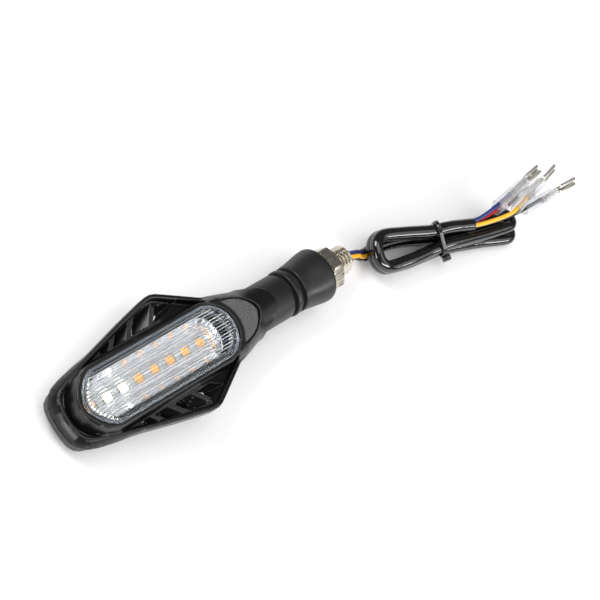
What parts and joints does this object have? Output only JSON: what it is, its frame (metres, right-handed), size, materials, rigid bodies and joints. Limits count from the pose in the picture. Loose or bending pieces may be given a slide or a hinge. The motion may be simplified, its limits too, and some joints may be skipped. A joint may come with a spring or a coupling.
{
  "type": "turn signal indicator",
  "caption": "Motorcycle LED turn signal: vented kite-shaped lamp with fluted clear lens on a flexible rubber stem, hollow threaded stud with nut, and coiled wire harness.",
  "frame": {"origin": "centre of the rubber boot's mounting face, on the axis of the threaded stud", "axes": "+X along the stem from the bracket towards the lamp's tip, +Z out of the lens, +Y completing the right-handed set; on a motorcycle the stem is horizontal and +Z faces forwards or backwards"},
  "size_m": [0.2353, 0.0459, 0.0194],
  "materials": {
    "stud_nickel": "satin nickel plate",
    "nut_nickel": "satin nickel plate",
    "washer_zinc": "bright zinc plate",
    "stem_rubber": "satin moulded rubber",
    "grommet_rubber": "matte rubber",
    "housing_plastic": "fine spark-eroded texture",
    "shell_plastic": "satin black, fine texture",
    "cap_plastic": "coarse grained grey",
    "lens_clear": "clear fluted",
    "gasket_rubber": "translucent silicone",
    "reflector_chrome": "vacuum metallised",
    "board_white": "white solder mask",
    "led_amber": "amber phosphor window",
    "led_white": "warm white phosphor window",
    "chip_black": "moulded packages",
    "lead_insulation": "satin insulation",
    "screw_steel": "dark zinc plate",
    "wire_blue": "satin insulation",
    "wire_red": "satin insulation",
    "wire_yellow": "satin insulation",
    "wire_black": "satin insulation",
    "sleeve_pvc": "glossy black PVC",
    "tie_nylon": "black nylon",
    "terminal_tin": "tin plate",
    "clear_pvc": "soft clear PVC"
  },
  "bodies": {
    "mount": {"threaded_stud": "stud_nickel", "stem_boot": "stem_rubber", "wire_blue": "wire_blue", "wire_red": "wire_red", "wire_yellow": "wire_yellow", "wire_black": "wire_black", "cable_sleeve": "sleeve_pvc", "cable_tie": "tie_nylon", "spade_terminals": "terminal_tin", "terminal_sleeves": "clear_pvc"},
    "flex_ring": {"stem_ring": "stem_rubber"},
    "head": {"stem_neck": "stem_rubber", "neck_grommet": "grommet_rubber", "rear_housing": "housing_plastic", "front_shell": "shell_plastic", "trim_cap": "cap_plastic", "lens": "lens_clear", "lens_gasket": "gasket_rubber", "reflector": "reflector_chrome", "led_board": "board_white", "amber_leds": "led_amber", "white_leds": "led_white", "driver_parts": "chip_black", "board_leads": "lead_insulation", "housing_screws": "screw_steel"},
    "washer": {"lock_washer": "washer_zinc"},
    "nut": {"hex_nut": "nut_nickel"}
  },
  "joints": [
    {"name": "stem_bend_up", "type": "hinge", "parent": "mount", "child": "flex_ring", "pos_m": [0.0139, 0, 0], "axis": [0, 1, 0], "range_deg": [-8, 8], "stiffness_Nm_per_rad": 2},
    {"name": "stem_bend_side", "type": "hinge", "parent": "flex_ring", "child": "head", "pos_m": [0.0175, 0, 0], "axis": [0, 0, 1], "range_deg": [-8, 8], "stiffness_Nm_per_rad": 2},
    {"name": "nut_travel", "type": "slide", "parent": "mount", "child": "washer", "axis": [1, 0, 0], "range_m": [-0.006, 0]},
    {"name": "nut_spin", "type": "hinge", "parent": "washer", "child": "nut", "pos_m": [-0.0035, 0, 0], "axis": [1, 0, 0], "range_deg": [-1440, 0]}
  ],
  "couplings": [
    {"joint": "nut_spin", "follows": "nut_travel", "rad_per_m": 4188.8}
  ]
}
